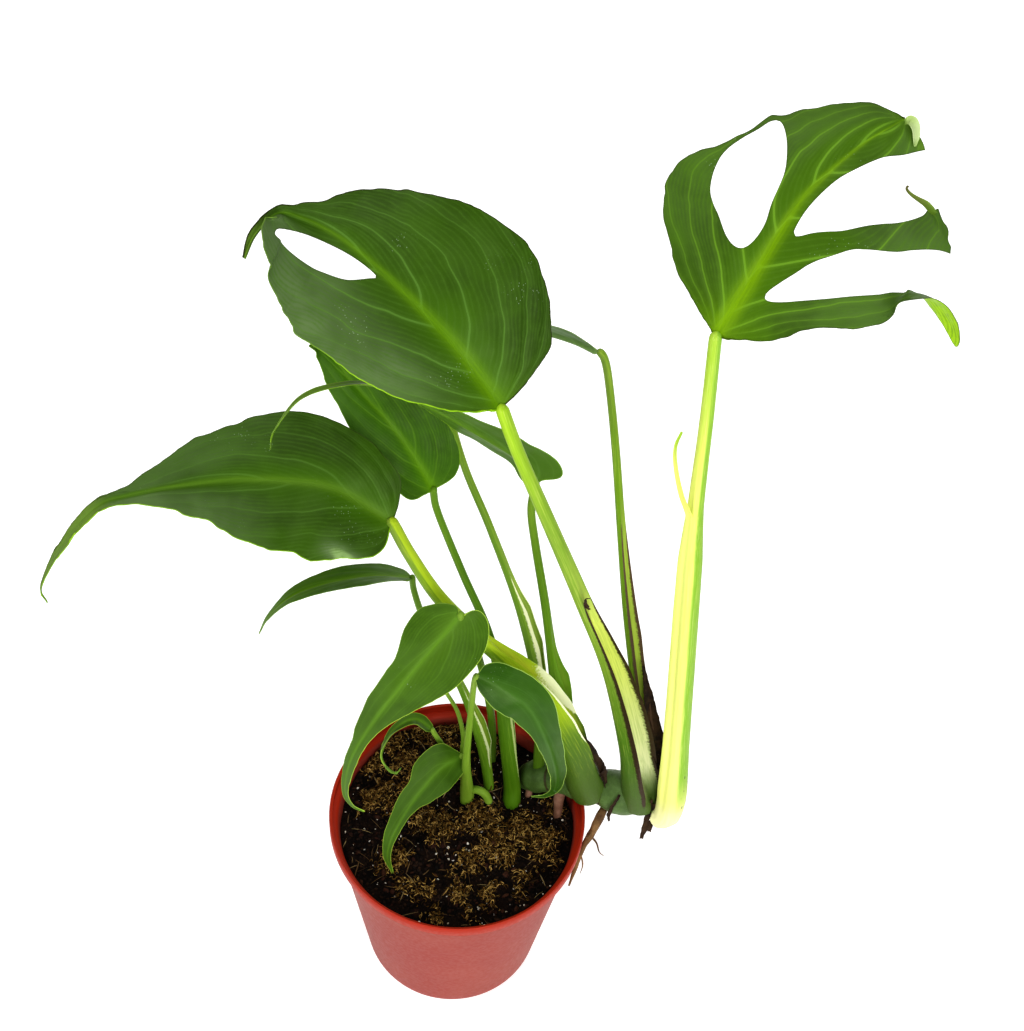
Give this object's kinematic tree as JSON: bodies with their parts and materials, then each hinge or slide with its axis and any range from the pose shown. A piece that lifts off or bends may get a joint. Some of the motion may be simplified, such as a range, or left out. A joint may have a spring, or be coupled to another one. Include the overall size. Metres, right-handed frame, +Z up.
{
  "type": "potted burle marx flame monstera",
  "caption": "Climbing aroid in a round nursery pot: long sheathed stalks from a stem over the rim carry pointed, holed and deeply split leaves, with a young shoot in the soil.",
  "frame": {"origin": "centre of the pot's base, on the surface it stands on", "axes": "+Z up, +X towards the side of the pot that the climbing stem hangs over, -Y towards the front of the plant"},
  "size_m": [0.4428, 0.2172, 0.5677],
  "materials": {
    "pot_plastic": "satin moulded plastic, terracotta red",
    "potting_mix": "moist dark peat with fibres, moss and white perlite",
    "stem_skin": "waxy grey-green bark",
    "stalk_skin": "smooth satin green with pale sheath edges",
    "pale_stalk_skin": "smooth satin yellow-green",
    "root_skin": "dry brown",
    "leaf_skin": "waxy green with pale veins, soft sheen",
    "young_leaf_skin": "waxy lighter green, soft sheen"
  },
  "bodies": {
    "root": {"pot": "pot_plastic", "soil": "potting_mix", "climbing_stem": "stem_skin", "stalk_a": "stalk_skin", "stalk_b": "stalk_skin", "stalk_c": "stalk_skin", "stalk_d": "stalk_skin", "stalk_e": "stalk_skin", "stalk_g": "stalk_skin", "stalk_h": "stalk_skin", "stalk_l": "stalk_skin", "stalk_f": "pale_stalk_skin", "young_shoot": "stalk_skin", "hanging_root": "root_skin", "anchor_root_1": "root_skin", "anchor_root_2": "root_skin", "leaf_a": "leaf_skin", "leaf_b": "leaf_skin", "leaf_c": "leaf_skin", "leaf_d": "leaf_skin", "leaf_e": "leaf_skin", "leaf_f": "leaf_skin", "leaf_g": "leaf_skin", "leaf_h": "young_leaf_skin", "leaf_i": "leaf_skin", "leaf_j": "young_leaf_skin", "leaf_k": "young_leaf_skin", "leaf_l": "leaf_skin"}
  },
  "joints": []
}
